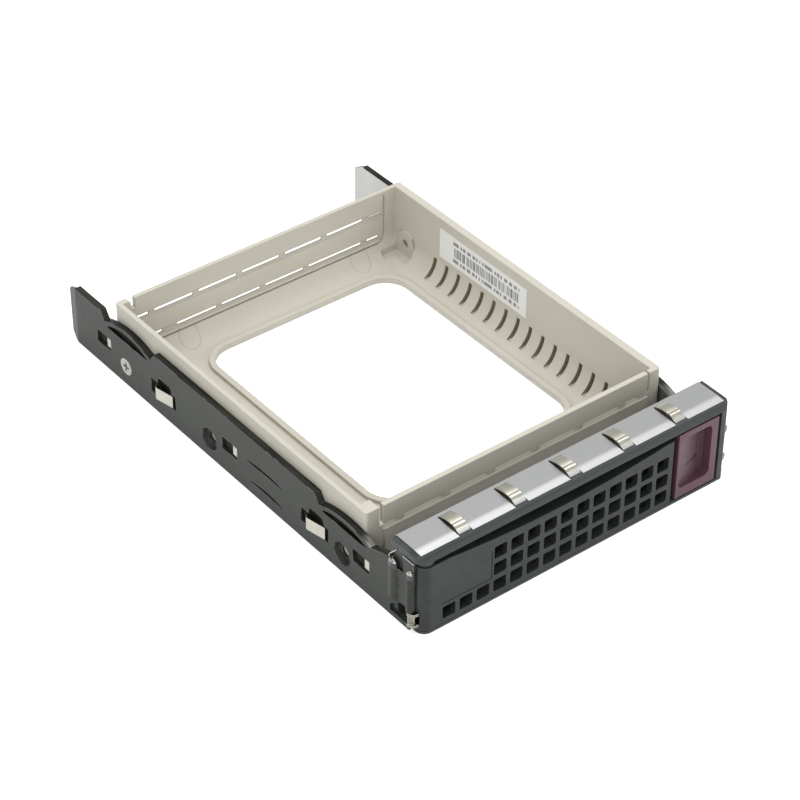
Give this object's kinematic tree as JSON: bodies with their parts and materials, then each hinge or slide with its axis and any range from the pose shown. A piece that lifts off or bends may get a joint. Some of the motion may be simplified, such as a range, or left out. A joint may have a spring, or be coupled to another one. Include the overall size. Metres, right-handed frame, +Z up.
{
  "type": "hot swap drive caddy",
  "caption": "Tray of dark sheet-metal rails with a drive-shaped tan insert, behind a bezel with a swing-out grille handle, a sliding release latch and a sprung contact shield",
  "frame": {"origin": "middle of the bounding box in X and Y, on the plane of the rails' lower edges (Z = 0)", "axes": "+Z up from the rails' lower edges, +Y along the tray from the bezel to the open rear end, +X across the tray to the right as seen from the bezel"},
  "size_m": [0.1082, 0.1636, 0.0273],
  "materials": {
    "black_sheet": "black coated sheet steel, satin, bare bright metal on cut edges",
    "black_plastic": "dark grey-black moulded plastic, fine satin grain",
    "tan_plastic": "tan moulded plastic, satin",
    "plum_plastic": "plum moulded plastic, satin",
    "shield_metal": "thin silver sheet, matte",
    "spring_steel": "bright rolled spring steel",
    "screw_metal": "plated steel",
    "label_paper": "plain white paper label"
  },
  "bodies": {
    "tray": {"left_rail": "black_sheet", "right_rail": "black_sheet", "front_plate": "black_sheet", "bezel_frame": "black_plastic", "hinge_pin": "spring_steel", "emi_top_shield": "shield_metal", "right_emi_clip": "spring_steel", "left_ground_spring": "spring_steel", "right_ground_spring": "spring_steel", "drive_insert": "tan_plastic", "left_rear_screw": "screw_metal", "right_rear_screw": "screw_metal", "asset_label": "label_paper"},
    "handle_lever": {"handle": "black_plastic", "ejector_hook": "spring_steel"},
    "latch_slider": {"release_latch": "plum_plastic"}
  },
  "joints": [
    {"name": "handle_hinge", "type": "hinge", "parent": "tray", "child": "handle_lever", "pos_m": [-0.049, -0.07895, 0.0117], "axis": [0, 0, -1], "range_deg": [0, 50]},
    {"name": "latch_slide", "type": "slide", "parent": "tray", "child": "latch_slider", "axis": [1, 0, 0], "range_m": [0, 0.0009], "stiffness_N_per_m": 200}
  ]
}
